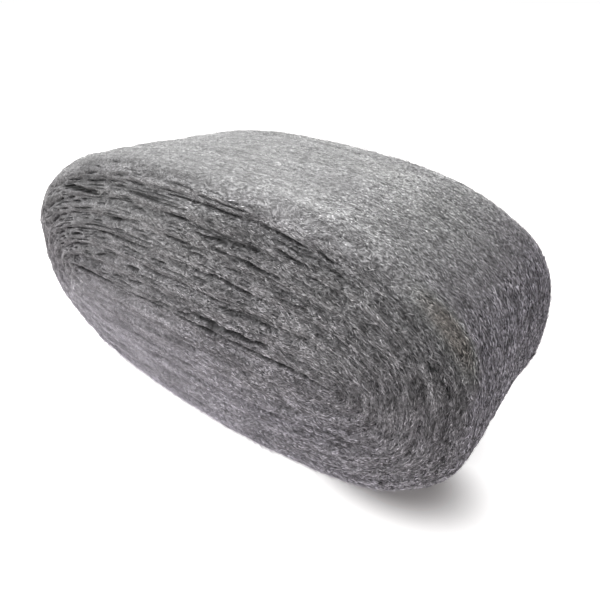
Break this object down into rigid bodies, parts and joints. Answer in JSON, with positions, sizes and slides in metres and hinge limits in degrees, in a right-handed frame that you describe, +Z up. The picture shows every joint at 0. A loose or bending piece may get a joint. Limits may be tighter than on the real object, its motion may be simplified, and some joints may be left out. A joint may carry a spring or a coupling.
{
  "type": "steel wool pad",
  "caption": "Fat oblong pad of steel wool: one wide web of fine steel fibres wound on itself, with its nested turns showing on both end faces.",
  "frame": {"origin": "middle of the flat spot that the pad rests on, at the bottom centre of its box", "axes": "+X along the pad's length, +Y along the winding's axis (the web's width) away from the near end face, +Z up through the turns"},
  "size_m": [0.1093, 0.05, 0.0527],
  "materials": {
    "steel_wool": "fine bright steel fibres, felted and lightly oiled"
  },
  "bodies": {
    "root": {"wound_pad": "steel_wool"}
  },
  "joints": []
}
